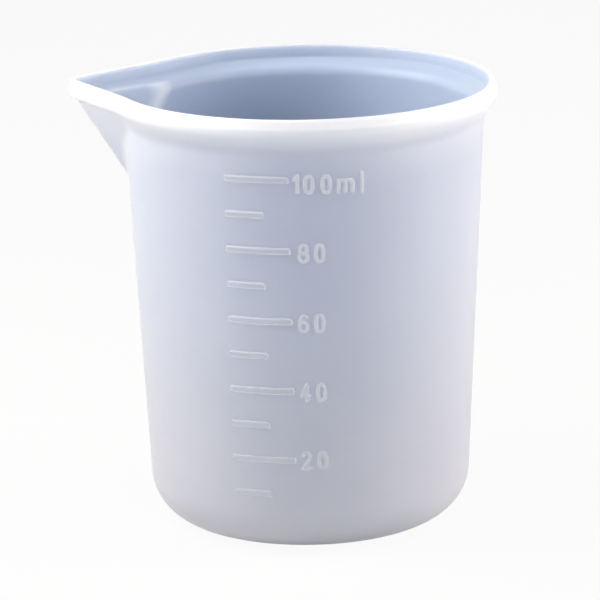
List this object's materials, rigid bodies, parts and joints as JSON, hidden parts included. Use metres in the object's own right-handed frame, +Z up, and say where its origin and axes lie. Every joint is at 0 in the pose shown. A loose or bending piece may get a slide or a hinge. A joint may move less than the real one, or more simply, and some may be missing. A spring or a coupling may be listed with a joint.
{
  "type": "resin mixing cup",
  "caption": "Translucent silicone mixing cup: tapered round wall, rounded base edge, flared rim, pointed pouring spout and a raised scale in millilitres.",
  "frame": {"origin": "middle of the flat base, on the cup's axis", "axes": "+Z up along the cup's axis, -X towards the tip of the spout, -Y towards the scale"},
  "size_m": [0.0655, 0.0586, 0.068],
  "materials": {
    "silicone": "translucent milky silicone, satin"
  },
  "bodies": {
    "root": {"cup": "silicone", "mark_10_ml": "silicone", "mark_20_ml": "silicone", "mark_30_ml": "silicone", "mark_40_ml": "silicone", "mark_50_ml": "silicone", "mark_60_ml": "silicone", "mark_70_ml": "silicone", "mark_80_ml": "silicone", "mark_90_ml": "silicone", "mark_100_ml": "silicone"}
  },
  "joints": []
}
